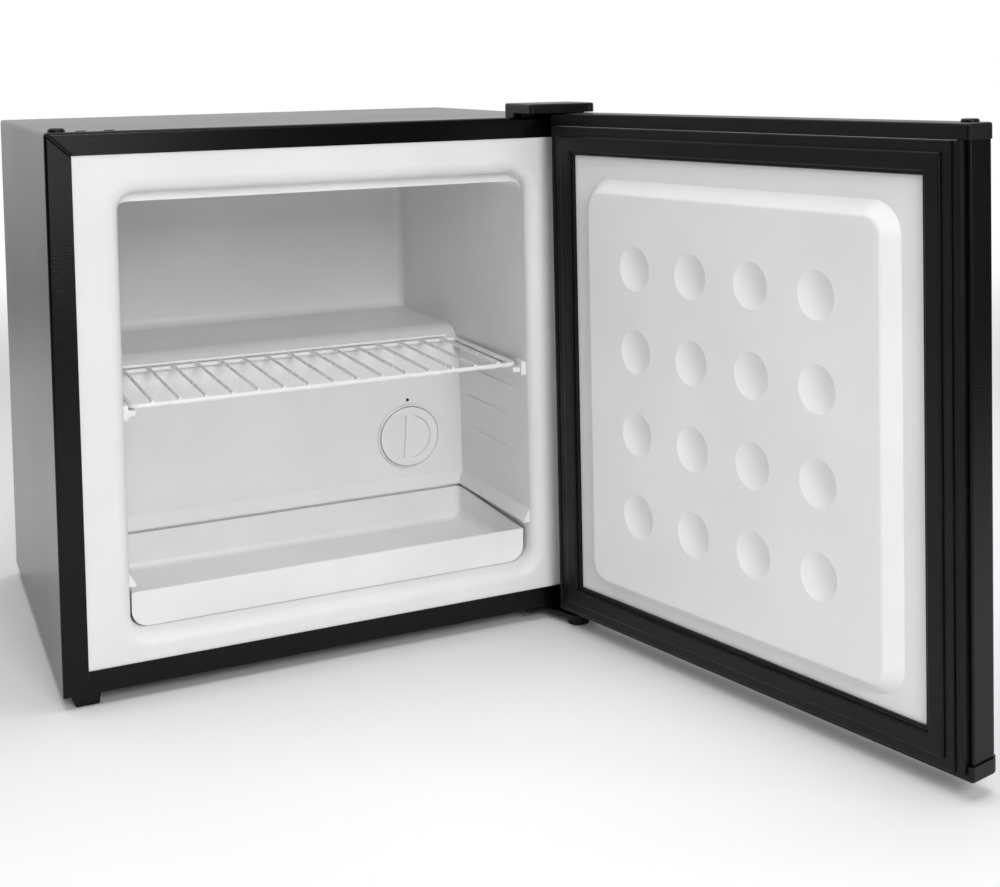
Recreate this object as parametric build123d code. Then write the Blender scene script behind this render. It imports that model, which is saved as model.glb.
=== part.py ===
"""Table-top mini fridge (freezer type): insulated cabinet, hinged door, wire shelf and drip tray.

Frame: X to the right seen from the front, Y from the cabinet's front face towards the rear, Z up.
X = 0 is the cabinet's centre plane, Y = 0 its front face, Z = 0 the floor under the feet.
Every function below works with Z = 0 at the cabinet's underside; save() lifts by the foot height.
The door is drawn closed and then turned open about its hinge pins, which is the stored rest pose.
"""
from build123d import *
import math
import os

os.makedirs("parts", exist_ok=True)

# ---- cabinet ---------------------------------------------------------------
CAB_W = 472.0
CAB_H = 460.0
CAB_D = 395.0
FOOT_H = 11.0
SHEET = 1.0            # painted steel
FRAME_SIDE = 20.3      # front flange, left and right
FRAME_TOP = 19.3
FRAME_BOTTOM = 18.5
FOLD_R = 2.4           # outer radius of the folds at the front
SEAM_HALF = 2.0        # half width of the rounded mitre seam at the front face
SEAM_DEPTH = 0.75
HALF = CAB_W / 2

# ---- food compartment ------------------------------------------------------
LINER_T = 1.6
MOUTH_HALF = 180.6     # half width at the mouth
REAR_HALF = 171.0      # half width at the rear wall: moulding draft
MOUTH_Y = 13.0         # depth at which the rolled lip meets the wall
FLOOR_Z = 40.0
MOUTH_TOP = 409.0
CEILING_Z = 400.0
STEP_Y = 21.0          # the ceiling steps down here
REAR_Y = 346.0
HUMP_Z = 240.0         # top of the hump over the compressor
HUMP_Y = 178.0         # its upright front
CREST_R = 34.0         # rounding between its front and its top
CORNER_R = 16.0
LIP_R = 11.0
LIP_LAP = 0.3          # the rolled lip stands this much inside the wall where they merge

# ---- machine compartment ---------------------------------------------------
BAY_LOW_Y = 226.0
BAY_TOP_Y = 258.0
BAY_TOP_Z = 203.0
CONDENSER_Y = 399.5

# ---- shelf, tray and dial --------------------------------------------------
SHELF_Z = 230.0
SHELF_HALF = 172.6
SHELF_Y0 = 22.0
SHELF_Y1 = 180.5
SHELF_WIRES = 15
SHELF_PITCH = 22.2
TRAY_Y0 = 20.5
TRAY_Y1 = 176.5
TRAY_HALF_FRONT = 177.4
TRAY_HALF_REAR = 173.0
TRAY_T = 2.0
TRAY_BOTTOM = 40.5
TRAY_TOP_FRONT = 71.0
TRAY_TOP_REAR = 76.0
RUNNER_HALF = 169.5    # inner edge of the shelf runners
RUNNER_TOP = 225.2
GUIDE_RIBS_Z = (200, 171, 139)
RAIL_TOP_Z = 93.0
RAIL_TIP_Z = 81.0
RAIL_OUT = 6.0
DIAL_X = 118.7
DIAL_Z = 134.0
DIAL_R = 29.8

# ---- door ------------------------------------------------------------------
PIN_X = 221.2
PIN_Y = -29.0
PIN_R = 4.0
RUN_CLEAR = 0.05       # radial clearance of pin in bush
OPEN_ANGLE = 103.1
GASKET_GAP = 6.0       # liner plane of the closed door in front of the cabinet face
DOOR_T = 29.5
FOLD_DEPTH = 3.8       # the skin's inward fold lies this far behind the liner plane
BUSH_R = 6.0
SKIN_LAP = 2.2         # the skin reaches this far into each end cap, clear of the sockets
DOOR_LOW = 3.5
DOOR_HIGH = 463.5
CAP_H = 11.5
CAP_PROUD = 1.8
WINDOW_HALF = 199.2
WINDOW_LOW = 33.4
WINDOW_HIGH = 426.6
PANEL_HALF = 178.0
PANEL_LOW = 43.0
PANEL_HIGH = 407.0
PANEL_RISE = 12.0
DIMPLE_R = 19.0
DIMPLE_DEPTH = 4.5
DIMPLE_DX = 70.0
DIMPLE_DZ = 71.0
DIMPLE_Z = 227.0
GASKET_SIDE = 33.0
GASKET_END = 25.2

# ---- hinge fittings --------------------------------------------------------
COVER_TOP = 472.6
COVER_X0 = 168.5
COVER_X1 = 234.5
COVER_Y0 = -37.5
COVER_Y1 = 24.0
FOOT_X = 213.5
FOOT_Y = -23.0
COLLAR_R = 5.2


def box(x0, x1, y0, y1, z0, z1):
    """A block between two corners."""
    return Pos((x0 + x1) / 2, (y0 + y1) / 2, (z0 + z1) / 2) * Box(x1 - x0, y1 - y0, z1 - z0)


def cyl_z(x, y, z0, z1, r):
    """An upright cylinder."""
    return Pos(x, y, (z0 + z1) / 2) * Cylinder(r, z1 - z0)


def cyl_y(x, z, y0, y1, r):
    """A cylinder that lies along Y."""
    return Pos(x, (y0 + y1) / 2, z) * Rot(90, 0, 0) * Cylinder(r, y1 - y0)


def cyl_x(y, z, x0, x1, r):
    """A cylinder that lies along X."""
    return Pos((x0 + x1) / 2, y, z) * Rot(0, 90, 0) * Cylinder(r, x1 - x0)


def side_prism(points, x0, x1):
    """A profile given as (y, z) points, extruded along X."""
    face = make_face(Polyline([(0, y, z) for y, z in points], close=True))
    return Pos(x0, 0, 0) * extrude(face, x1 - x0, dir=(1, 0, 0))


def plan_prism(points, z0, z1):
    """A profile given as (x, y) points, extruded along Z."""
    face = make_face(Polyline([(x, y, 0) for x, y in points], close=True))
    return Pos(0, 0, z0) * extrude(face, z1 - z0, dir=(0, 0, 1))


def rounded_block(x0, x1, y0, y1, z0, z1, r):
    """A block whose four edges along Y are rounded."""
    blank = box(x0, x1, y0, y1, z0, z1)
    return fillet(blank.edges().filter_by(Axis.Y), r)


def tube(points, r, bend):
    """A round rod or pipe along a bent line."""
    path = FilletPolyline(*points, radius=bend)
    start = Plane(origin=path @ 0, z_dir=path % 0)
    return sweep(start * Circle(r), path)


def frame_block(xi, xo, y0, y1, zi0, zi1, ze):
    """A rectangular ring: inner half width xi, outer xo, inner heights zi0..zi1, rim ze beyond them."""
    outer = box(-xo, xo, y0, y1, zi0 - ze, zi1 + ze)
    return outer - box(-xi, xi, y0 - 1, y1 + 1, zi0, zi1)


def wall_half(y, off=0.0):
    """Half width of the food compartment at depth y."""
    slope = (MOUTH_HALF - REAR_HALF) / (REAR_Y - MOUTH_Y)
    return MOUTH_HALF - (y - MOUTH_Y) * slope + off


def join(parts):
    """One solid out of parts that touch or overlap."""
    whole = parts[0]
    for piece in parts[1:]:
        whole = whole + piece
    return whole


def group(parts):
    """Separate solids kept together in one piece list."""
    return Compound([solid for piece in parts for solid in piece.solids()])


# ---- outer skin ------------------------------------------------------------
def mitre_groove():
    """The gap between two rolled sheet edges, lying along X from the origin."""
    roll = (SEAM_HALF ** 2 + SEAM_DEPTH ** 2) / (2 * SEAM_DEPTH)
    groove = box(-3, 29.5, -1, SEAM_DEPTH, -SEAM_HALF, SEAM_HALF)
    for side in (-1, 1):
        groove -= cyl_x(roll, side * SEAM_HALF, -4, 31, roll)
    return groove + box(-3, 29.5, -0.1, SEAM_DEPTH + 0.1, -0.3, 0.3)


def outer_wrap():
    """Top and both sides in one folded sheet, with the mitred front flange and a rear return."""
    skin = box(-HALF, HALF, 0, CAB_D, 0, CAB_H)
    skin = fillet(skin.edges().filter_by(Axis.Y).group_by(Axis.Z)[-1], FOLD_R + 0.6)
    folds = skin.edges().filter_by_position(Axis.Y, -0.01, 0.01)
    skin = fillet([e for e in folds if e.center().Z > 1], FOLD_R)
    skin -= box(-HALF + SHEET, HALF - SHEET, SHEET, CAB_D - SHEET, -1, CAB_H - SHEET)
    skin -= box(-HALF + FRAME_SIDE, HALF - FRAME_SIDE, -1, 2, -1, CAB_H - FRAME_TOP)
    skin -= box(-HALF + 12, HALF - 12, CAB_D - 2, CAB_D + 1, -1, CAB_H - 12)
    angle = math.degrees(math.atan2(FRAME_TOP, FRAME_SIDE))
    skin -= Pos(-HALF, 0, CAB_H) * Rot(0, angle, 0) * mitre_groove()
    skin -= Pos(HALF, 0, CAB_H) * Rot(0, 180 - angle, 0) * mitre_groove()
    return skin


def base_panel():
    """Bottom sheet: front rail, flat floor, then up and over the machine compartment."""
    low = [(0, 0), (BAY_LOW_Y, 0), (BAY_TOP_Y, BAY_TOP_Z), (CAB_D - 1.5, BAY_TOP_Z)]
    high = [
        (CAB_D - 1.5, BAY_TOP_Z + SHEET),
        (BAY_TOP_Y - 1.0, BAY_TOP_Z + SHEET),
        (BAY_LOW_Y - 1.0, SHEET),
        (SHEET, SHEET),
        (SHEET, FRAME_BOTTOM),
        (0, FRAME_BOTTOM),
    ]
    inner = side_prism(low + high, -HALF + FRAME_SIDE + 0.1, HALF - FRAME_SIDE - 0.1)
    wide = side_prism(
        [(1.2, 0), (BAY_LOW_Y, 0), (BAY_TOP_Y, BAY_TOP_Z), (CAB_D - 1.5, BAY_TOP_Z),
         (CAB_D - 1.5, BAY_TOP_Z + SHEET), (BAY_TOP_Y - 1.0, BAY_TOP_Z + SHEET),
         (BAY_LOW_Y - 1.0, SHEET), (1.2, SHEET)],
        -HALF + SHEET + 0.1, HALF - SHEET - 0.1,
    )
    return inner + wide


def back_panel():
    """Flat sheet that closes the foam space at the rear, screwed to the wrap's return."""
    return box(-HALF + 2, HALF - 2, CAB_D - 2.2, CAB_D - 1.2, BAY_TOP_Z + 1.2, CAB_H - 2)


# ---- food compartment ------------------------------------------------------
def cavity_profile(off):
    """Side profile of the food compartment, grown outwards by off."""
    low = FLOOR_Z - off
    y_hump = HUMP_Y + off
    z_ledge = HUMP_Z - off
    return [
        (MOUTH_Y - 1, low),
        (y_hump, low),
        (y_hump, z_ledge),
        (REAR_Y + off, z_ledge),
        (REAR_Y + off, CEILING_Z + off),
        (STEP_Y + off, CEILING_Z + off),
        (STEP_Y + off, MOUTH_TOP + off),
        (MOUTH_Y - 1, MOUTH_TOP + off),
    ]


def cavity(off):
    """The food compartment as a solid, grown outwards by off."""
    block = side_prism(cavity_profile(off), -200, 200)
    plan = plan_prism(
        [
            (-wall_half(MOUTH_Y - 1, off), MOUTH_Y - 1),
            (wall_half(MOUTH_Y - 1, off), MOUTH_Y - 1),
            (wall_half(REAR_Y + 5, off), REAR_Y + 5),
            (-wall_half(REAR_Y + 5, off), REAR_Y + 5),
        ],
        0, CAB_H,
    )
    block = block & plan
    across = [e for e in block.edges() if abs((e % 0.5).X) > 0.99]
    crest = [e for e in across if abs(e.center().Z - HUMP_Z) < 3 and e.center().Y < REAR_Y - 50]
    block = fillet(crest, CREST_R - off)
    corners = []
    for e in block.edges():
        lie = e % 0.5
        mid = e.center()
        if abs(lie.X) > 0.99 and mid.Y > REAR_Y - 5:
            corners.append(e)
        elif abs(lie.Z) > 0.9 and mid.Y > 300:
            corners.append(e)
        elif abs(lie.Y) > 0.9 and abs(mid.Z - CEILING_Z) < 4 and abs(mid.X) > 150:
            corners.append(e)
    block = fillet(corners, 9 + off)
    tops = [e for e in block.edges() if abs((e % 0.5).Y) > 0.9 and e.center().Z > MOUTH_TOP - 1]
    tops = [e for e in tops if abs(e.center().X) > 150]
    block = fillet(tops, CORNER_R + off)
    lows = [e for e in block.edges() if abs((e % 0.5).Y) > 0.9 and e.center().Z < FLOOR_Z + 1]
    lows = [e for e in lows if abs(e.center().X) > 150]
    return fillet(lows, CORNER_R + off)


def mouth(off, y0, y1, lip):
    """Block the size of the compartment's mouth with a flared, rolled lip at y0."""
    hole = rounded_block(
        -MOUTH_HALF - off, MOUTH_HALF + off, y0 - 5, y1,
        FLOOR_Z - off, MOUTH_TOP + off, CORNER_R + off,
    )
    plate = box(-225, 225, y0, y1, 12, 449) - hole
    rim = [e for e in plate.edges() if abs(e.center().Y - y0) < 0.01 and abs(e.center().X) < 200]
    rim = [e for e in rim if 20 < e.center().Z < 440]
    return fillet(rim, lip)


def shelf_runners():
    """Shelf supports and faint guide ribs on both side walls, with the keeper rail over the tray."""
    parts = []
    for side in (-1, 1):
        w0 = wall_half(12)
        w1 = wall_half(176)
        wf = wall_half(20) + 0.8
        wr = wall_half(168) + 0.8
        for z in GUIDE_RIBS_Z:
            plan = [
                (side * wf, 18), (side * (wf - 2.2), 48),
                (side * (wr - 2.2), 150), (side * wr, 168),
            ]
            parts.append(plan_prism(plan, z - 2, z + 2))
        ledge = [
            (side * wf, 18), (side * RUNNER_HALF, 18),
            (side * RUNNER_HALF, 182), (side * (wall_half(182) + 0.8), 182),
        ]
        parts.append(plan_prism(ledge, RUNNER_TOP - 4.5, RUNNER_TOP))
        x0, x1 = sorted((side * 176.2, side * (w0 + 0.4)))
        stop = box(x0, x1, 13.5, 32, 217, 231)
        parts.append(fillet(stop.edges().filter_by(Axis.X), 3))
        rail = [(0.8, RAIL_TOP_Z), (-RAIL_OUT, RAIL_TIP_Z), (-RAIL_OUT, RAIL_TIP_Z - 2), (0.8, RAIL_TIP_Z - 2)]
        face = make_face(Polyline([(side * x, 0, z) for x, z in rail], close=True))
        bar = extrude(face, 164, dir=(0, 1, 0))
        turn = math.degrees(math.atan2(w0 - w1, 164))
        parts.append(Pos(side * w0, 12, 0) * Rot(0, 0, side * turn) * bar)
    back = side_prism(
        [(HUMP_Y + 0.8, RAIL_TOP_Z), (HUMP_Y - RAIL_OUT, RAIL_TIP_Z),
         (HUMP_Y - RAIL_OUT, RAIL_TIP_Z - 2), (HUMP_Y + 0.8, RAIL_TIP_Z - 2)],
        -wall_half(176), wall_half(176),
    )
    parts.append(back)
    return parts


def hump_place(x, z, out=0.0):
    """Position on the hump's front, local +Z pointing out of it into the compartment."""
    return Plane(origin=(x, HUMP_Y - out, z), x_dir=(1, 0, 0), z_dir=(0, -1, 0)).location


def inner_liner():
    """White moulded liner: front flange, rolled lip, compartment with hump, runners and tray rails."""
    lip = mouth(-LIP_LAP, SHEET + 0.05, MOUTH_Y + 2, LIP_R)
    back = mouth(LINER_T - LIP_LAP, SHEET + 0.05 + LINER_T, MOUTH_Y + 3, LIP_R - LINER_T)
    rolled = lip - back
    shell = cavity(LINER_T) - cavity(0)
    trim = box(-230, 230, MOUTH_Y - 3, MOUTH_Y + 1.0, 0, CAB_H)
    shell -= trim
    whole = rolled + shell
    for piece in shelf_runners():
        whole += piece
    hole = hump_place(DIAL_X, DIAL_Z) * Cylinder(3.6, 12)
    return whole - hole


def foam():
    """Rigid foam around the compartment, as blocks that touch each other."""
    off = LINER_T
    y0 = MOUTH_Y + 3
    y1 = CAB_D - 2.3
    z0 = SHEET + 0.1
    z1 = CAB_H - SHEET - 0.1
    x1 = HALF - SHEET - 0.1
    bay = side_prism(
        [(BAY_LOW_Y - 1.1, -5), (BAY_LOW_Y - 1.1, SHEET + 0.1), (BAY_TOP_Y - 1.2, BAY_TOP_Z + 1.1),
         (CAB_D + 5, BAY_TOP_Z + 1.1), (CAB_D + 5, -5)],
        -HALF, HALF,
    )
    blocks = []
    for side in (-1, 1):
        points = [
            (side * x1, y0), (side * wall_half(y0, off), y0),
            (side * wall_half(y1, off), y1), (side * x1, y1),
        ]
        blocks.append(plan_prism(points, z0, z1) - bay)
    middle = plan_prism(
        [(-wall_half(y0, off), y0), (wall_half(y0, off), y0),
         (wall_half(y1, off), y1), (-wall_half(y1, off), y1)], z0, z1,
    )
    hump = box(-200, 200, HUMP_Y + off, REAR_Y + off, z0, HUMP_Z - off)
    blocks.append((middle & box(-200, 200, y0, HUMP_Y + off, z0, FLOOR_Z - off)))
    blocks.append((middle & hump) - bay - thermostat_pocket() - cavity(off + 0.01))
    top = box(-200, 200, y0, REAR_Y + off, CEILING_Z + off, z1)
    top -= box(-200, 200, y0 - 1, STEP_Y + off, CEILING_Z - 1, MOUTH_TOP + off)
    blocks.append(middle & top)
    rear = middle & box(-200, 200, REAR_Y + off, y1, z0, z1)
    rear -= box(-165, 165, REAR_Y, REAR_Y + off + 8.2, 262, 398)
    blocks.append(rear - bay)
    return group(blocks)


def evaporator_plate():
    """Aluminium cold plate pressed against the back of the compartment's rear wall."""
    y = REAR_Y + LINER_T + 0.1
    plate = box(-155, 155, y, y + 1.2, 270, 390)
    return fillet(plate.edges().filter_by(Axis.Y), 8)


def evaporator_tube():
    """Serpentine refrigerant tube bonded to the cold plate."""
    y = REAR_Y + LINER_T + 0.1 + 1.2 + 3.0
    rows = [284, 314, 344, 374]
    points = []
    for n, z in enumerate(rows):
        ends = (-140, 140) if n % 2 == 0 else (140, -140)
        points += [(ends[0], y, z), (ends[1], y, z)]
    return tube(points, 3.0, 9)


# ---- thermostat ------------------------------------------------------------
def thermostat_body():
    """Control housing behind the hump's front wall."""
    spot = hump_place(DIAL_X, DIAL_Z, -LINER_T - 0.2)
    return spot * (Pos(0, 0, -12) * Box(44, 36, 24) - Pos(0, 0, -2) * Cylinder(2.7, 9))


def thermostat_pocket():
    """Room in the foam for the control housing."""
    return hump_place(DIAL_X, DIAL_Z, -LINER_T) * Pos(0, 0, -13) * Box(46, 38, 27)


def dial_bezel():
    """Fixed collar around the dial."""
    collar = Pos(0, 0, 1.9) * Cylinder(DIAL_R + 2.4, 3.8)
    collar = fillet(collar.edges().group_by(Axis.Z)[-1], 1.6)
    return hump_place(DIAL_X, DIAL_Z, 0.05) * (collar - Pos(0, 0, 2) * Cylinder(DIAL_R + 0.8, 6))


def dial_mark():
    """Small dark pointer dot on the wall above the dial."""
    return hump_place(DIAL_X, DIAL_Z + 36.5, 0.05) * Pos(0, 0, 0.3) * Cylinder(1.5, 0.6)


def thermostat_dial():
    """Turning knob: round face with two D-shaped finger recesses that leave a grip bar."""
    knob = Pos(0, 0, 3.0) * Cylinder(DIAL_R, 5.0)
    knob = fillet(knob.edges().group_by(Axis.Z)[-1], 0.9)
    for side in (-1, 1):
        moon = Pos(0, 0, 4.2) * Cylinder(22.0, 4.8)
        moon &= Pos(side * 16.4, 0, 4.2) * Box(24, 60, 5)
        knob -= moon
    knob += Pos(0, 0, -1.0) * Cylinder(2.6, 8.6)
    return hump_place(DIAL_X, DIAL_Z) * Rot(0, 0, -4) * knob


# ---- shelf and tray --------------------------------------------------------
def wire_shelf():
    """White coated wire shelf: bent frame with front-to-back wires welded on top of it."""
    h = SHELF_HALF
    z = SHELF_Z - 2.2
    frame = [
        (-1, SHELF_Y0, z), (-h, SHELF_Y0, z), (-h, SHELF_Y1, z),
        (h, SHELF_Y1, z), (h, SHELF_Y0, z), (1, SHELF_Y0, z),
    ]
    parts = [tube(frame, 2.1, 6), cyl_x(SHELF_Y0, z, -2, 2, 2.1)]
    for n in range(SHELF_WIRES):
        x = (n - (SHELF_WIRES - 1) / 2) * SHELF_PITCH
        wire = Plane(origin=(x, SHELF_Y0 - 1.6, z + 2.6), z_dir=(0, 1, 0)).location * Cylinder(
            1.35, SHELF_Y1 - SHELF_Y0 + 1.0, align=(Align.CENTER, Align.CENTER, Align.MIN)
        )
        parts.append(wire)
    parts.append(cyl_x(SHELF_Y1 - 1.6, z + 5.0, -h + 12, h - 12, 1.6))
    return join(parts)


def tray_solid(grow):
    """Drip tray volume: drafted in plan, rounded below, rim rising to the rear."""
    y0 = TRAY_Y0 - grow
    y1 = TRAY_Y1 + grow
    plan = plan_prism(
        [(-TRAY_HALF_FRONT - grow, y0), (TRAY_HALF_FRONT + grow, y0),
         (TRAY_HALF_REAR + grow, y1), (-TRAY_HALF_REAR - grow, y1)], 0, 120,
    )
    side = side_prism(
        [(y0 + 1.8, TRAY_BOTTOM - grow), (y1, TRAY_BOTTOM - grow), (y1, TRAY_TOP_REAR),
         (y0, TRAY_TOP_FRONT)], -200, 200,
    )
    block = plan & side
    lows = [e for e in block.edges() if abs((e % 0.5).Y) > 0.9 and e.center().Z < TRAY_BOTTOM + 8]
    block = fillet(lows, 14 + grow)
    ends = [e for e in block.edges() if abs((e % 0.5).Z) > 0.8 and e.length > 8]
    ends = [e for e in ends if e.center().Y > 100]
    return fillet(ends, 8 + grow)


def drip_tray():
    """White pull-out drip tray, open at the top."""
    inner = tray_solid(-TRAY_T)
    return tray_solid(0) - inner - Pos(0, 0, 3) * inner


# ---- top hinge -------------------------------------------------------------
def top_hinge_bracket():
    """Joggled steel plate: screwed to the cabinet top, stepping up over the door."""
    on_cab = box(176, 224.5, 4, 21, CAB_H, CAB_H + 2.5)
    riser = box(176, 224.5, 1, 4, CAB_H, CAB_H + 7.0)
    over = box(192, 230, COVER_Y0 + 2.3, 4, CAB_H + 4.5, CAB_H + 7.0)
    over = fillet(over.edges().filter_by(Axis.Z).group_by(Axis.Y)[0], 5.0)
    plate = on_cab + riser + over - cyl_z(PIN_X, PIN_Y, CAB_H, CAB_H + 9, PIN_R)
    for x in (184, 212):
        plate -= cyl_z(x, 13, CAB_H - 1, CAB_H + 4, 2.2)
    return plate


def top_hinge_pin():
    """Steel pin pointing down into the door."""
    head = cyl_z(PIN_X, PIN_Y, CAB_H + 7.0, CAB_H + 9.0, 5.5)
    return head + cyl_z(PIN_X, PIN_Y, DOOR_HIGH - 10.5, CAB_H + 7.5, PIN_R)


def hinge_screws():
    """Two pan-head screws through the top bracket into the cabinet top."""
    parts = []
    for x in (184, 212):
        head = cyl_z(x, 13, CAB_H + 2.5, CAB_H + 5.2, 4.2)
        head -= box(x - 3, x + 3, 12.4, 13.6, CAB_H + 4.2, CAB_H + 6)
        parts.append(head + cyl_z(x, 13, CAB_H - 8, CAB_H + 3, 2.0))
    return group(parts)


def top_hinge_cover():
    """Black moulded cover over the top hinge, deeper over the cabinet than over the door."""
    shell = box(COVER_X0, COVER_X1, COVER_Y0, COVER_Y1, CAB_H + 4.2, COVER_TOP)
    shell += box(COVER_X0, COVER_X1, 0.6, COVER_Y1, CAB_H, CAB_H + 4.3)
    corners = shell.edges().filter_by(Axis.Z).sort_by(Axis.Y)
    shell = fillet([e for e in corners if e.center().X > 200 and e.center().Y < COVER_Y0 + 1], 9.0)
    corners = shell.edges().filter_by(Axis.Z)
    shell = fillet([e for e in corners if e.center().X < COVER_X0 + 1 or e.center().Y > COVER_Y1 - 1], 3.0)
    shell = fillet(shell.edges().group_by(Axis.Z)[-1], 1.8)
    hollow = box(COVER_X0 + 2, COVER_X1 - 2, COVER_Y0 + 2, COVER_Y1 - 2, CAB_H - 1, COVER_TOP - 2)
    hollow = fillet([e for e in hollow.edges().filter_by(Axis.Z)
                     if e.center().X > 200 and e.center().Y < 0], 7.0)
    return shell - hollow


def hinge_hole_plugs():
    """Blanking plugs in the spare hinge holes of the reversible top: one dome, two nearly flush."""
    dome = cyl_z(-225.2, 11.0, CAB_H, CAB_H + 3.2, 6.8)
    dome = fillet(dome.edges().group_by(Axis.Z)[-1], 2.6)
    parts = [dome + cyl_z(-225.2, 11.0, CAB_H - 5, CAB_H + 0.5, 2.6)]
    for x in (-206, -184):
        parts.append(cyl_z(x, 13, CAB_H, CAB_H + 0.4, 4.2) + cyl_z(x, 13, CAB_H - 5, CAB_H + 0.2, 2.0))
    return group(parts)


# ---- bottom hinge and feet -------------------------------------------------
def bottom_hinge_bracket():
    """Steel plate under the front right corner that carries the lower hinge pin."""
    plate = box(172, 234, -1, 46, -3.0, 0)
    nose = plan_prism([(190, 0), (234, 0), (232, -38), (204, -38)], -3.0, 0)
    plate = fillet((plate + nose).edges().filter_by(Axis.Z).group_by(Axis.Y)[0], 8)
    for x in (184, 222):
        plate -= cyl_z(x, 32, -4, 1, 2.2)
    plate -= cyl_z(FOOT_X, FOOT_Y, -4, 1, 3.0)
    return plate - cyl_z(PIN_X, PIN_Y, -4, 1, PIN_R)


def bottom_hinge_pin():
    """Lower hinge pin, riveted into the bracket, with a shoulder that the door runs over."""
    pin = cyl_z(PIN_X, PIN_Y, -3.0, DOOR_LOW + 9.5, PIN_R)
    return pin + cyl_z(PIN_X, PIN_Y, 0, 1.9, COLLAR_R)


def levelling_foot():
    """Round front right foot: knurled disc on a threaded stud through the bracket."""
    foot = cyl_z(FOOT_X, FOOT_Y, -FOOT_H, -3.4, 10.0)
    foot = chamfer(foot.edges().group_by(Axis.Z)[-1], 1.2)
    for n in range(12):
        a = math.radians(30 * n)
        x = FOOT_X + 10.4 * math.cos(a)
        y = FOOT_Y + 10.4 * math.sin(a)
        foot -= cyl_z(x, y, -FOOT_H + 1.5, 0, 1.1)
    return foot + cyl_z(FOOT_X, FOOT_Y, -5, 0.4, 2.95)


def bottom_hinge_screws():
    """Two screws that hold the lower bracket."""
    parts = []
    for x in (184, 222):
        parts.append(cyl_z(x, 32, -5.6, -3.0, 4.2) + cyl_z(x, 32, -4, 8, 2.0))
    return group(parts)


def front_left_foot():
    """Tapered moulded foot under the front left corner."""
    top = Pos(-218.5, 13, 0) * Rectangle(24, 22)
    low = Pos(-216.5, 13, -FOOT_H) * Rectangle(17.5, 17)
    foot = loft([top, low])
    return fillet(foot.edges().group_by(Axis.Z)[0], 1.2)


def rear_feet():
    """Moulded feet under the compressor base plate, left and right."""
    parts = []
    for side in (-1, 1):
        top = Pos(side * 222, 338, -5.0) * Rectangle(22, 20)
        low = Pos(side * 222, 338, -FOOT_H) * Rectangle(18, 15)
        parts.append(loft([top, low]))
    return group(parts)


# ---- machine compartment ---------------------------------------------------
def compressor_base():
    """Folded steel plate across the rear that carries the compressor."""
    plate = box(-HALF + 2, HALF - 2, 236, CAB_D - 2, -5.0, -3.0)
    lip = box(-HALF + 2, HALF - 2, CAB_D - 4, CAB_D - 2, -5.0, 8)
    ledge = box(-HALF + 2, HALF - 2, 216, 238, -5.0, -3.0)
    fold = box(-HALF + 2, HALF - 2, 216, 218, -5.0, 0)
    whole = plate + lip + ledge + fold
    for x in (-62, 82):
        for y in (272, 366):
            whole -= cyl_z(x, y, -10, 10, 4.2)
    return whole


def compressor_shell():
    """Hermetic compressor: two welded pressed shells."""
    body = cyl_z(10, 322, 14, 138, 60)
    body = fillet(body.edges().filter_by(GeomType.CIRCLE), 24)
    seam = cyl_z(10, 322, 78, 82, 62.5)
    return body + seam


def compressor_mount():
    """Pressed foot plate welded under the compressor."""
    plate = Pos(10, 319, 13) * Box(164, 112, 2.4)
    plate = fillet(plate.edges().filter_by(Axis.Z), 12)
    plate -= cyl_z(10, 322, 0, 30, 38)
    for x in (-62, 82):
        for y in (272, 366):
            plate -= cyl_z(x, y, 5, 20, 6.05)
    return plate + (cyl_z(10, 322, 10.5, 15, 40.0) - cyl_z(10, 322, 9, 14.0, 36.5)) - cyl_z(10, 322, 14, 30, 36.5)


def compressor_grommets():
    """Rubber mounts under the compressor's foot plate."""
    parts = []
    for x in (-62, 82):
        for y in (272, 366):
            body = cyl_z(x, y, -3.0, 11.7, 9.5) + cyl_z(x, y, 11, 16.5, 6.0) + cyl_z(x, y, 14.3, 17, 8.5)
            parts.append(body - cyl_z(x, y, -5, 20, 3.3))
    return group(parts)


def compressor_bolts():
    """Bolts through the rubber mounts."""
    parts = []
    for x in (-62, 82):
        for y in (272, 366):
            parts.append(cyl_z(x, y, -7.5, -5.0, 6.5) + cyl_z(x, y, -6, 21, 3.0) + cyl_z(x, y, 17, 19.4, 7.5))
    return group(parts)


def terminal_cover():
    """Moulded cover over the compressor's starter and terminals."""
    cover = box(70, 112, 300, 344, 48, 96)
    cover = fillet(cover.edges().filter_by(Axis.X), 5)
    return cover - cyl_z(10, 322, 0, 200, 63.0)


def filter_drier():
    """Copper drier in the liquid line."""
    body = cyl_z(-150, 352, 40, 130, 9.5)
    return fillet(body.edges().filter_by(GeomType.CIRCLE), 6)


def discharge_pipe():
    """Hot gas line from the compressor to the condenser."""
    path = [
        (-38, 350, 60), (-90, 372, 60), (-200, 372, 60), (-200, CONDENSER_Y, 60),
        (-200, CONDENSER_Y, 86),
    ]
    return tube(path, 2.5, 8)


def liquid_line():
    """Condenser outlet down to the drier."""
    path = [(-180, CONDENSER_Y, 36), (-180, 380, 36), (-150, 352, 28), (-150, 352, 41)]
    return tube(path, 2.5, 5)


def capillary_tube():
    """Thin tube from the drier up towards the cold plate."""
    path = [
        (-150, 352, 129), (-150, 352, 165), (-120, 352, 180),
        (-60, 352, 180), (-60, 352, BAY_TOP_Z),
    ]
    return tube(path, 1.3, 7)


def suction_pipe():
    """Return line from the cold plate to the compressor."""
    path = [
        (40, 352, BAY_TOP_Z), (40, 352, 176), (95, 340, 160), (95, 318, 130), (64, 310, 104),
    ]
    return tube(path, 3.0, 8)


def process_stub():
    """Sealed charging stub on the compressor."""
    path = [(-18, 372, 70), (-20, 387, 70), (-20, 387, 118)]
    return tube(path, 2.6, 5)


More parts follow.
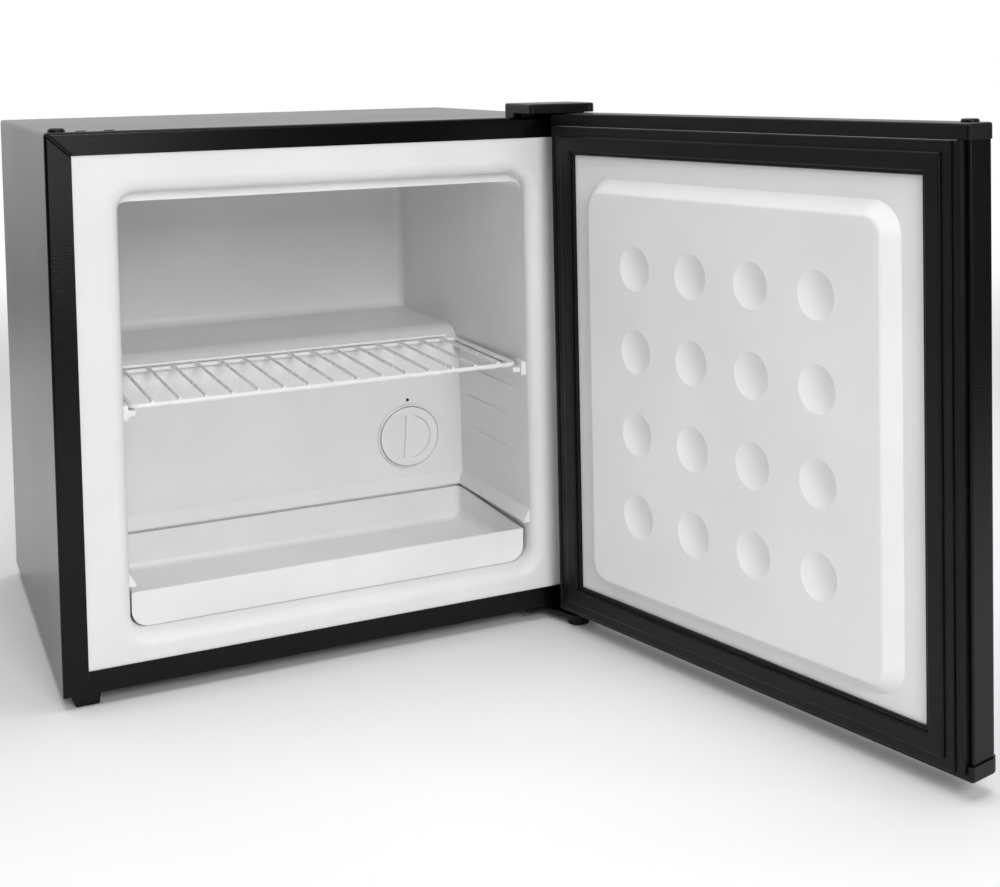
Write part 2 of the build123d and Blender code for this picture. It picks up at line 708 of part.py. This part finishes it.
def condenser_tube():
    """Serpentine tube of the rear condenser."""
    points = [(-200, CONDENSER_Y, 86), (-200, CONDENSER_Y, 430)]
    for n in range(8):
        z = 430 - 50 * n
        ends = (-180, 190) if n % 2 == 0 else (190, -180)
        if n > 0:
            points.append((ends[0], CONDENSER_Y, z))
        points.append((ends[1], CONDENSER_Y, z))
    points.append((-180, CONDENSER_Y, 36))
    return tube(points, 2.4, 12)


def condenser_wires():
    """Cooling wires welded to the condenser tube."""
    parts = []
    for n in range(31):
        x = -168 + 11.2 * n
        parts.append(cyl_z(x, CONDENSER_Y + 3.1, 62, 444, 0.8))
    return group(parts)


def condenser_clips():
    """Four clips that hold the condenser off the back of the cabinet."""
    parts = []
    for x in (-120, 120):
        for z in (236, 424):
            parts.append(box(x - 9, x + 9, CAB_D - 1.2, CONDENSER_Y - 2.3, z - 8, z + 8))
    return group(parts)


def cord_inlet():
    """Moulded bush at the rear right where a mains lead would enter."""
    bush = cyl_y(196, 34, CAB_D - 2, CAB_D + 2, 9)
    bush += cyl_y(196, 34, CAB_D - 12, CAB_D - 1.9, 6.5)
    return bush - cyl_y(196, 34, CAB_D - 20, CAB_D + 5, 3.6)


def cord_inlet_plate():
    """Steel plate at the rear right that holds the bush."""
    plate = box(170, HALF - SHEET - 0.2, CAB_D - 4, CAB_D - 2, 8, 70)
    return plate - cyl_y(196, 34, 380, 400, 6.5)


# ---- door, drawn closed ----------------------------------------------------
LINER_Y = -GASKET_GAP
FRONT_Y = -GASKET_GAP - DOOR_T


def door_outer_panel():
    """Painted steel door skin: front, both sides and their inward folds."""
    z0 = DOOR_LOW + CAP_H - 2
    z1 = DOOR_HIGH - CAP_H + 2
    fold_y = LINER_Y - FOLD_DEPTH
    skin = box(-HALF, HALF, FRONT_Y, fold_y, z0, z1)
    skin = fillet(skin.edges().filter_by(Axis.Z).group_by(Axis.Y)[0], 4)
    room = box(-HALF + SHEET, HALF - SHEET, FRONT_Y + SHEET, fold_y + 1, z0 - 1, z1 + 1)
    skin -= fillet(room.edges().filter_by(Axis.Z).group_by(Axis.Y)[0], 3)
    for side in (-1, 1):
        x0, x1 = sorted((side * (HALF - 0.4), side * (HALF - 12)))
        skin += box(x0, x1, fold_y - SHEET, fold_y, z0, z1)
    folds = skin.edges().filter_by(Axis.Z).filter_by_position(Axis.Y, fold_y - 0.01, fold_y + 0.01)
    return fillet([e for e in folds if abs(e.center().X) > HALF - 0.1], 1.5)


def end_cap(z_low, up):
    """Moulded cap along the door's top or bottom, slightly proud of the skin."""
    x1 = HALF + 1.4
    y0 = FRONT_Y - CAP_PROUD
    cap = box(-x1, x1, y0, LINER_Y - 1.0, z_low, z_low + CAP_H)
    cap = fillet(cap.edges().filter_by(Axis.Z).group_by(Axis.Y)[0], 7)
    cap = fillet(cap.edges().filter_by(Axis.Z).group_by(Axis.Y)[-1], 2.5)
    rim = cap.edges().group_by(Axis.Z)[-1 if up else 0]
    cap = fillet(rim, 1.6)
    inner0, inner1 = (z_low - 1, z_low + CAP_H - 2.4) if up else (z_low + 2.4, z_low + CAP_H + 1)
    cap -= box(-HALF - 0.1, HALF + 0.1, FRONT_Y - 0.1, LINER_Y - 2.8, inner0, inner1)
    boss0, boss1 = (z_low + SKIN_LAP, z_low + CAP_H) if up else (z_low, z_low + CAP_H - SKIN_LAP)
    cap += cyl_z(PIN_X, PIN_Y, boss0, boss1, BUSH_R + 1.6)
    cap += cyl_z(-PIN_X, PIN_Y, boss0, boss1, BUSH_R + 1.6)
    for x in (PIN_X, -PIN_X):
        z0, z1 = (z_low - 1, z_low + CAP_H + 1)
        cap -= cyl_z(x, PIN_Y, z0, z1, BUSH_R)
    return cap


def door_top_cap():
    """Top end cap with both hinge sockets."""
    return end_cap(DOOR_HIGH - CAP_H, True)


def door_bottom_cap():
    """Bottom end cap with both hinge sockets."""
    return end_cap(DOOR_LOW, False)


def hinge_bushes():
    """Two plain bearing bushes pressed into the hinge-side sockets."""
    parts = []
    for z0 in (DOOR_LOW, DOOR_HIGH - CAP_H + SKIN_LAP):
        bush = cyl_z(PIN_X, PIN_Y, z0 + 0.1, z0 + CAP_H - SKIN_LAP - 0.1, BUSH_R)
        parts.append(bush - cyl_z(PIN_X, PIN_Y, 0, 500, PIN_R + RUN_CLEAR))
    return group(parts)


def door_socket_plugs():
    """Blanking plugs in the unused sockets on the free edge."""
    top = cyl_z(-PIN_X, PIN_Y, DOOR_HIGH - 7, DOOR_HIGH + 0.1, BUSH_R)
    button = cyl_z(-PIN_X, PIN_Y, DOOR_HIGH, DOOR_HIGH + 2.4, BUSH_R + 0.6)
    top += fillet(button.edges().group_by(Axis.Z)[-1], 1.6)
    low = cyl_z(-PIN_X, PIN_Y, DOOR_LOW, DOOR_LOW + 7, BUSH_R)
    low += cyl_z(-PIN_X, PIN_Y, DOOR_LOW - 1.2, DOOR_LOW, BUSH_R + 0.6)
    return group([top, low])


def raised_block(shrink, y_back, y_top, taper):
    """The raised field of the door liner as a solid, shrunk on every side."""
    height = y_top - y_back
    zc = (PANEL_LOW + PANEL_HIGH) / 2
    base = RectangleRounded(
        2 * (PANEL_HALF - shrink), PANEL_HIGH - PANEL_LOW - 2 * shrink, 26 - shrink)
    block = extrude(base, height, taper=taper)
    return Pos(0, y_back, zc) * Rot(-90, 0, 0) * block


def dimple_spots():
    """Centres of the four by four dimples."""
    for col in range(4):
        for row in range(4):
            yield (col - 1.5) * DIMPLE_DX, DIMPLE_Z + (row - 1.5) * DIMPLE_DZ


def door_liner():
    """White moulded inner door: flat border, raised field, dimples."""
    top = LINER_Y + PANEL_RISE
    low, high = (DOOR_LOW + CAP_H + 0.1, DOOR_HIGH - CAP_H - 0.1)
    plate = box(-HALF + 9.6, HALF - 9.6, LINER_Y - LINER_T, LINER_Y, low, high)
    raised = raised_block(0, LINER_Y - 0.01, top, 42)
    raised = fillet(raised.edges().group_by(Axis.Y)[-1], 3.5)
    hollow = raised_block(1.9, LINER_Y - LINER_T - 0.01, top - LINER_T, 42)
    ball = (DIMPLE_R ** 2 + DIMPLE_DEPTH ** 2) / (2 * DIMPLE_DEPTH)
    whole = plate + raised
    for x, z in dimple_spots():
        hollow -= Pos(x, top + ball - DIMPLE_DEPTH, z) * Sphere(ball + LINER_T)
    whole -= hollow
    for x, z in dimple_spots():
        whole -= Pos(x, top + ball - DIMPLE_DEPTH, z) * Sphere(ball)
    return whole


def door_foam():
    """Rigid foam that fills the door."""
    y1 = LINER_Y - LINER_T - 0.1
    core = box(-HALF + 12.2, HALF - 12.2, FRONT_Y + SHEET + 0.1, y1, DOOR_LOW + CAP_H + 0.2,
               DOOR_HIGH - CAP_H - 0.2)
    top = LINER_Y + PANEL_RISE
    field = raised_block(2.0, LINER_Y - LINER_T - 0.05, top - LINER_T - 0.05, 42)
    ball = (DIMPLE_R ** 2 + DIMPLE_DEPTH ** 2) / (2 * DIMPLE_DEPTH)
    for x, z in dimple_spots():
        field -= Pos(x, top + ball - DIMPLE_DEPTH, z) * Sphere(ball + LINER_T + 0.05)
    return group([core, field])


def door_gasket():
    """Magnetic door seal: wide flat pad, a hollow bulb on it, and a bead over the skin's fold."""
    xi = WINDOW_HALF
    lo = WINDOW_LOW
    hi = WINDOW_HIGH
    y0 = LINER_Y + 0.05
    pad = frame_block(xi, xi + 25, y0, LINER_Y + 3.0, lo, hi, GASKET_END)
    pad = fillet(pad.edges().group_by(Axis.Y)[-1], 1.2)
    bulb = frame_block(xi + 3, xi + 17, LINER_Y + 2.6, -0.6, lo - 3, hi + 3, 14)
    bulb = fillet(bulb.edges().group_by(Axis.Y)[-1], 1.8)
    seal = pad + bulb - magnet_tunnel(xi, lo, hi)
    for side in (-1, 1):
        x0, x1 = sorted((side * (xi + 24), side * (xi + GASKET_SIDE)))
        seal += box(x0, x1, y0, LINER_Y + 1.0, lo - GASKET_END, hi + GASKET_END)
        x0, x1 = sorted((side * (xi + 28.6), side * (xi + GASKET_SIDE)))
        low, high = (DOOR_LOW + CAP_H + 0.3, DOOR_HIGH - CAP_H - 0.3)
        bead = box(x0, x1, LINER_Y - FOLD_DEPTH + 0.05, LINER_Y + 2.6, low, high)
        seal += fillet(bead.edges().filter_by(Axis.Z).group_by(Axis.Y)[-1], 2.0)
    return seal


def magnet_tunnel(xi, lo, hi):
    """The hollow inside the seal's bulb."""
    return frame_block(xi + 5.5, xi + 14.5, LINER_Y + 0.9, LINER_Y + 4.2, lo - 5.5, hi + 5.5, 9)


def gasket_magnets():
    """Four flexible magnet strips inside the seal's bulb."""
    xi = WINDOW_HALF
    lo = WINDOW_LOW
    hi = WINDOW_HIGH
    y0, y1 = (LINER_Y + 1.1, LINER_Y + 3.9)
    parts = []
    for side in (-1, 1):
        x0, x1 = sorted((side * (xi + 6.0), side * (xi + 14.0)))
        parts.append(box(x0, x1, y0, y1, lo - 5.0, hi + 5.0))
    parts.append(box(-xi - 14.0, xi + 14.0, y0, y1, lo - 14.0, lo - 6.0))
    parts.append(box(-xi - 14.0, xi + 14.0, y0, y1, hi + 6.0, hi + 14.0))
    return group(parts)


def opened(shape):
    """Turn a door piece from closed to the stored open position."""
    axis = Axis((PIN_X, PIN_Y, 0), (0, 0, 1))
    return shape.rotate(axis, OPEN_ANGLE)


FIXED = {
    "outer_wrap": outer_wrap,
    "base_panel": base_panel,
    "back_panel": back_panel,
    "inner_liner": inner_liner,
    "insulation_foam": foam,
    "evaporator_plate": evaporator_plate,
    "evaporator_tube": evaporator_tube,
    "thermostat_body": thermostat_body,
    "dial_bezel": dial_bezel,
    "dial_mark": dial_mark,
    "top_hinge_bracket": top_hinge_bracket,
    "top_hinge_pin": top_hinge_pin,
    "top_hinge_screws": hinge_screws,
    "top_hinge_cover": top_hinge_cover,
    "hinge_hole_plugs": hinge_hole_plugs,
    "bottom_hinge_bracket": bottom_hinge_bracket,
    "bottom_hinge_pin": bottom_hinge_pin,
    "bottom_hinge_screws": bottom_hinge_screws,
    "front_left_foot": front_left_foot,
    "rear_feet": rear_feet,
    "compressor_base": compressor_base,
    "compressor_shell": compressor_shell,
    "compressor_mount": compressor_mount,
    "compressor_grommets": compressor_grommets,
    "compressor_bolts": compressor_bolts,
    "terminal_cover": terminal_cover,
    "filter_drier": filter_drier,
    "discharge_pipe": discharge_pipe,
    "liquid_line": liquid_line,
    "capillary_tube": capillary_tube,
    "suction_pipe": suction_pipe,
    "process_stub": process_stub,
    "condenser_tube": condenser_tube,
    "condenser_wires": condenser_wires,
    "condenser_clips": condenser_clips,
    "cord_inlet": cord_inlet,
    "cord_inlet_plate": cord_inlet_plate,
    "levelling_foot": levelling_foot,
    "thermostat_dial": thermostat_dial,
    "wire_shelf": wire_shelf,
    "drip_tray": drip_tray,
}

DOOR = {
    "door_outer_panel": door_outer_panel,
    "door_top_cap": door_top_cap,
    "door_bottom_cap": door_bottom_cap,
    "door_liner": door_liner,
    "door_foam": door_foam,
    "door_gasket": door_gasket,
    "gasket_magnets": gasket_magnets,
    "hinge_bushes": hinge_bushes,
    "door_socket_plugs": door_socket_plugs,
}


def save(name, shape):
    """Lift a piece onto its feet and write it."""
    lifted = Pos(0, 0, FOOT_H) * shape
    export_step(lifted, f"parts/{name}.step")


for name, make in FIXED.items():
    save(name, make())
for name, make in DOOR.items():
    save(name, opened(make()))
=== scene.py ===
import math

import bpy
from mathutils import Matrix, Vector

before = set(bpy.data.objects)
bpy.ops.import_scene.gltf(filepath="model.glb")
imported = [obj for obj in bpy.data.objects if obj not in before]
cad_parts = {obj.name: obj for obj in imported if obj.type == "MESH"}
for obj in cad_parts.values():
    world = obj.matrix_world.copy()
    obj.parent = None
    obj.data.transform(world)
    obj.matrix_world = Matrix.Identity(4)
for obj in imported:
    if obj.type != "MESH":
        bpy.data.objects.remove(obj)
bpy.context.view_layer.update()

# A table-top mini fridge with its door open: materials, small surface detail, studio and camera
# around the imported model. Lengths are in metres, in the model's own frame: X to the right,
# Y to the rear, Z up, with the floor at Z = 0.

MM = 0.001
FLOOR_RADIUS = 3.0
FLOOR_MIDDLE = (0, 0.35, 0)
FLOOR_FADE = 0.42          # one over the distance at which the floor has faded out
EYE = (-0.37081, -1.30895, 0.51996)
YAW_PITCH_ROLL = (27.3168, -2.8031, -0.9265)
LENS = 55.39
LENS_SHIFT = (-0.1471, -0.3064)


# ---------------------------------------------------------------- materials

class Shader:
    """A Principled material whose colour, roughness and bump are built up from procedural nodes."""

    def __init__(self, name, **sockets):
        self.material = bpy.data.materials.new("mat_" + name)
        self.material.use_nodes = True
        self.tree = self.material.node_tree
        self.bsdf = self.tree.nodes["Principled BSDF"]
        for socket, value in sockets.items():
            self.bsdf.inputs[socket.replace("_", " ")].default_value = value
        self.coordinates = self.node("ShaderNodeTexCoord").outputs["Object"]
        self.normal = None

    def node(self, kind, **settings):
        made = self.tree.nodes.new(kind)
        for key, value in settings.items():
            setattr(made, key, value)
        return made

    def join(self, source, target):
        self.tree.links.new(source, target)

    def stretched(self, scale):
        """Object coordinates stretched by scale along each axis."""
        mapping = self.node("ShaderNodeMapping")
        mapping.inputs["Scale"].default_value = scale
        self.join(self.coordinates, mapping.inputs["Vector"])
        return mapping.outputs["Vector"]

    def noise(self, size, detail=2.0, stretch=(1, 1, 1)):
        """Noise whose lumps are about size metres across."""
        texture = self.node("ShaderNodeTexNoise")
        texture.inputs["Scale"].default_value = 1.0 / size
        texture.inputs["Detail"].default_value = detail
        self.join(self.stretched(stretch), texture.inputs["Vector"])
        return texture.outputs["Fac"]

    def ramp(self, factor, low, high, start=0.3, end=0.7):
        """Maps factor from start..end to low..high, which are grey levels or colours."""
        ramp = self.node("ShaderNodeValToRGB")
        ramp.color_ramp.elements[0].position = start
        ramp.color_ramp.elements[1].position = end
        for element, value in zip(ramp.color_ramp.elements, (low, high)):
            grey = (value,) * 3 if isinstance(value, (int, float)) else tuple(value)
            element.color = grey + (1.0,)
        self.join(factor, ramp.inputs["Fac"])
        return ramp.outputs["Color"]

    def colour(self, factor, low, high, start=0.3, end=0.7):
        self.join(self.ramp(factor, low, high, start, end), self.bsdf.inputs["Base Color"])

    def roughness(self, factor, low, high, start=0.3, end=0.7):
        self.join(self.ramp(factor, low, high, start, end), self.bsdf.inputs["Roughness"])

    def bump(self, height, depth):
        """Adds relief of about depth metres on top of any relief already there."""
        bump = self.node("ShaderNodeBump")
        bump.inputs["Distance"].default_value = depth
        self.join(height, bump.inputs["Height"])
        if self.normal is not None:
            self.join(self.normal, bump.inputs["Normal"])
        self.normal = bump.outputs["Normal"]
        self.join(self.normal, self.bsdf.inputs["Normal"])


def black_paint():
    """Baked powder coat on sheet steel: near black, glossy, with a fine orange-peel skin."""
    paint = Shader("black_paint", Specular_IOR_Level=0.2)
    paint.colour(paint.noise(0.18), 0.0020, 0.0028)
    paint.roughness(paint.noise(0.15, detail=1), 0.19, 0.21)
    paint.bump(paint.noise(1.3 * MM, detail=1.0), 0.10 * MM)
    paint.bump(paint.noise(0.5 * MM, detail=1.0), 0.01 * MM)
    return paint.material


def black_plastic():
    """Moulded ABS trim with a fine satin texture."""
    plastic = Shader("black_plastic", Specular_IOR_Level=0.22)
    plastic.colour(plastic.noise(0.05), 0.003, 0.005)
    plastic.roughness(plastic.noise(0.02, detail=4), 0.27, 0.37)
    plastic.bump(plastic.noise(0.7 * MM, detail=2), 0.01 * MM)
    return plastic.material


def white_liner():
    """Vacuum-formed polystyrene: slightly uneven sheet with a soft gloss."""
    liner = Shader("white_liner", Specular_IOR_Level=0.45)
    liner.colour(liner.noise(0.12, detail=3), (0.80, 0.80, 0.80), (0.86, 0.86, 0.86))
    liner.roughness(liner.noise(0.03, detail=4), 0.34, 0.44)
    liner.bump(liner.noise(0.03, detail=1), 0.12 * MM)
    liner.bump(liner.noise(0.9 * MM, detail=2), 0.006 * MM)
    return liner.material


def white_plastic():
    """Injection-moulded polystyrene, smoother and whiter than the liner."""
    plastic = Shader("white_plastic", Specular_IOR_Level=0.5)
    plastic.colour(plastic.noise(0.08, detail=3), (0.83, 0.83, 0.83), (0.89, 0.89, 0.89))
    plastic.roughness(plastic.noise(0.02, detail=4), 0.28, 0.38)
    plastic.bump(plastic.noise(0.6 * MM, detail=2), 0.004 * MM)
    return plastic.material


def dark_mark():
    """Pad-printed ink dot."""
    ink = Shader("dark_mark", Specular_IOR_Level=0.3)
    ink.colour(ink.noise(1 * MM), 0.01, 0.03)
    ink.roughness(ink.noise(0.5 * MM), 0.4, 0.6)
    return ink.material


def white_wire():
    """Steel wire dipped in white nylon."""
    wire = Shader("white_wire", Specular_IOR_Level=0.5)
    wire.colour(wire.noise(0.02, detail=3), (0.84, 0.84, 0.84), (0.9, 0.9, 0.9))
    wire.roughness(wire.noise(0.01, detail=3), 0.2, 0.3)
    wire.bump(wire.noise(12 * MM, detail=1), 0.02 * MM)
    return wire.material


def seal_rubber():
    """Extruded soft PVC: black and slightly uneven."""
    rubber = Shader("seal_rubber", Specular_IOR_Level=0.2)
    rubber.colour(rubber.noise(0.04, detail=3), 0.003, 0.005)
    rubber.roughness(rubber.noise(0.03, detail=4), 0.3, 0.42)
    rubber.bump(rubber.noise(4 * MM, detail=2), 0.03 * MM)
    return rubber.material


def magnet_strip():
    """Bonded ferrite strip."""
    strip = Shader("magnet_strip", Specular_IOR_Level=0.3)
    strip.colour(strip.noise(0.01, detail=4), (0.05, 0.042, 0.038), (0.09, 0.08, 0.07))
    strip.roughness(strip.noise(0.004), 0.6, 0.8)
    return strip.material


def foam():
    """Rigid polyurethane foam, cream, with small open cells."""
    cells = Shader("foam", Specular_IOR_Level=0.2)
    cells.colour(cells.noise(0.02, detail=4), (0.68, 0.58, 0.34), (0.84, 0.76, 0.52))
    cells.roughness(cells.noise(0.01), 0.85, 0.95)
    cells.bump(cells.noise(1.5 * MM, detail=4), 0.3 * MM)
    return cells.material


def aluminium():
    """Mill-finish aluminium sheet with fine rolling lines."""
    metal = Shader("aluminium", Metallic=1.0)
    metal.colour(metal.noise(0.02, detail=3), (0.74, 0.75, 0.76), (0.84, 0.85, 0.86))
    metal.roughness(metal.noise(0.002, stretch=(0.05, 1, 1)), 0.28, 0.42)
    return metal.material


def zinc_steel():
    """Zinc-coated steel sheet: dull grey with the large flakes of its coating."""
    metal = Shader("zinc_steel", Metallic=1.0)
    flakes = metal.node("ShaderNodeTexVoronoi")
    flakes.inputs["Scale"].default_value = 1.0 / (6 * MM)
    metal.join(metal.coordinates, flakes.inputs["Vector"])
    shade = metal.node("ShaderNodeSeparateColor")
    metal.join(flakes.outputs["Color"], shade.inputs["Color"])
    metal.colour(shade.outputs["Red"], (0.42, 0.43, 0.44), (0.56, 0.57, 0.58), 0.0, 1.0)
    metal.roughness(shade.outputs["Green"], 0.32, 0.5, 0.0, 1.0)
    metal.bump(metal.noise(1 * MM, detail=3), 0.01 * MM)
    return metal.material


def copper():
    """Drawn copper tube, a little tarnished."""
    metal = Shader("copper", Metallic=1.0)
    metal.colour(metal.noise(0.012, detail=4), (0.42, 0.2, 0.12), (0.78, 0.42, 0.28))
    metal.roughness(metal.noise(0.006, detail=3), 0.22, 0.42)
    metal.bump(metal.noise(2 * MM, detail=2), 0.02 * MM)
    return metal.material


def black_enamel():
    """Stove enamel on the compressor and the condenser: satin, slightly lumpy."""
    enamel = Shader("black_enamel", Specular_IOR_Level=0.45)
    enamel.colour(enamel.noise(0.03, detail=3), 0.008, 0.014)
    enamel.roughness(enamel.noise(0.01, detail=4), 0.3, 0.45)
    enamel.bump(enamel.noise(3 * MM, detail=3), 0.06 * MM)
    return enamel.material


def grey_plastic():
    """Unpainted nylon and PBT: matt light grey."""
    plastic = Shader("grey_plastic", Specular_IOR_Level=0.4)
    plastic.colour(plastic.noise(0.01, detail=3), (0.5, 0.5, 0.48), (0.6, 0.6, 0.58))
    plastic.roughness(plastic.noise(0.01), 0.45, 0.6)
    plastic.bump(plastic.noise(0.6 * MM, detail=2), 0.01 * MM)
    return plastic.material


FINISHES = {
    "black_paint": black_paint,
    "black_plastic": black_plastic,
    "white_liner": white_liner,
    "white_plastic": white_plastic,
    "dark_mark": dark_mark,
    "white_wire": white_wire,
    "seal_rubber": seal_rubber,
    "magnet_strip": magnet_strip,
    "foam": foam,
    "aluminium": aluminium,
    "zinc_steel": zinc_steel,
    "copper": copper,
    "black_enamel": black_enamel,
    "grey_plastic": grey_plastic,
}


def finish_nodes():
    """Gives every CAD node the full material for the slot that the record names for it."""
    made = {slot: build() for slot, build in FINISHES.items()}
    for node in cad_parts.values():
        for index, old in enumerate(node.data.materials):
            node.data.materials[index] = made[old.name.split(".")[0]]


# ---------------------------------------------------------------- studio

def floor():
    """A round pale floor whose rim fades away into the backdrop."""
    bpy.ops.mesh.primitive_circle_add(
        vertices=96, radius=FLOOR_RADIUS, fill_type="NGON", location=FLOOR_MIDDLE
    )
    disc = bpy.context.object
    disc.name = "studio_floor"
    pale = Shader("studio_floor", Specular_IOR_Level=0.2, Roughness=0.8)
    pale.colour(pale.noise(0.6), (0.86, 0.86, 0.86), (0.89, 0.89, 0.89))
    middle = pale.node("ShaderNodeTexGradient", gradient_type="SPHERICAL")
    pale.join(pale.stretched((FLOOR_FADE,) * 3), middle.inputs["Vector"])
    pale.join(pale.ramp(middle.outputs["Fac"], 0.0, 1.0, 0.0, 0.5), pale.bsdf.inputs["Alpha"])
    disc.data.materials.append(pale.material)


def soft_light(name, place, aim, width, height, power):
    """A rectangular softbox at place that faces aim."""
    data = bpy.data.lights.new(name, "AREA")
    data.shape = "RECTANGLE"
    data.size = width
    data.size_y = height
    data.energy = power
    lamp = bpy.data.objects.new(name, data)
    bpy.context.scene.collection.objects.link(lamp)
    lamp.location = place
    lamp.rotation_euler = (Vector(aim) - Vector(place)).to_track_quat("-Z", "Y").to_euler()


def surroundings(behind, ahead, below):
    """Pale light from all round, brighter behind than ahead and dimmer below the horizon."""
    world = bpy.data.worlds.new("studio")
    bpy.context.scene.world = world
    world.use_nodes = True
    tree = world.node_tree
    backdrop = tree.nodes["Background"]
    backdrop.inputs["Color"].default_value = (1, 1, 1, 1)
    place = tree.nodes.new("ShaderNodeTexCoord")
    split = tree.nodes.new("ShaderNodeSeparateXYZ")
    tree.links.new(place.outputs["Generated"], split.inputs["Vector"])
    levels = []
    fades = (("Y", -0.5, 0.5, ahead, behind), ("Z", -0.25, 0.05, below, 1.0))
    for axis, start, end, low, high in fades:
        level = tree.nodes.new("ShaderNodeMapRange")
        level.interpolation_type = "SMOOTHSTEP"
        level.inputs["From Min"].default_value = start
        level.inputs["From Max"].default_value = end
        level.inputs["To Min"].default_value = low
        level.inputs["To Max"].default_value = high
        tree.links.new(split.outputs[axis], level.inputs["Value"])
        levels.append(level.outputs["Result"])
    both = tree.nodes.new("ShaderNodeMath")
    both.operation = "MULTIPLY"
    tree.links.new(levels[0], both.inputs[0])
    tree.links.new(levels[1], both.inputs[1])
    seen = tree.nodes.new("ShaderNodeLightPath")
    pick = tree.nodes.new("ShaderNodeMix")
    tree.links.new(seen.outputs["Is Camera Ray"], pick.inputs["Factor"])
    tree.links.new(both.outputs["Value"], pick.inputs["A"])
    pick.inputs["B"].default_value = 1.0
    tree.links.new(pick.outputs["Result"], backdrop.inputs["Strength"])


def camera():
    """The viewpoint: low, in front and to the left, looking in past the open door."""
    yaw, pitch, roll = (math.radians(a) for a in YAW_PITCH_ROLL)
    ahead = Vector((math.sin(yaw) * math.cos(pitch), math.cos(yaw) * math.cos(pitch), math.sin(pitch)))
    level = Vector((math.cos(yaw), -math.sin(yaw), 0))
    right = math.cos(roll) * level + math.sin(roll) * level.cross(ahead)
    up = right.cross(ahead)
    data = bpy.data.cameras.new("camera")
    data.lens = LENS
    data.sensor_width = 36.0
    data.shift_x, data.shift_y = LENS_SHIFT
    data.clip_start = 0.05
    data.clip_end = 100
    made = bpy.data.objects.new("camera", data)
    bpy.context.scene.collection.objects.link(made)
    axes = Matrix((right, up, -ahead)).transposed()
    made.matrix_world = Matrix.Translation(EYE) @ axes.to_4x4()
    bpy.context.scene.camera = made


finish_nodes()
floor()
surroundings(behind=0.75, ahead=0.05, below=0.35)
soft_light("softbox_front", (-0.1, -2.7, 1.45), (0.0, 0.0, 0.3), 1.1, 1.2, 42)
soft_light("softbox_low", (0.0, -2.6, 0.34), (0.0, 0.0, 0.34), 0.5, 0.5, 3)
soft_light("softbox_top", (0.1, -0.1, 2.4), (0.0, 0.1, 0.2), 2.4, 2.4, 38)
soft_light("softbox_right", (2.1, -1.9, 0.7), (0.2, -0.2, 0.3), 0.4, 1.6, 9)
camera()
bpy.context.scene.view_settings.view_transform = "Standard"
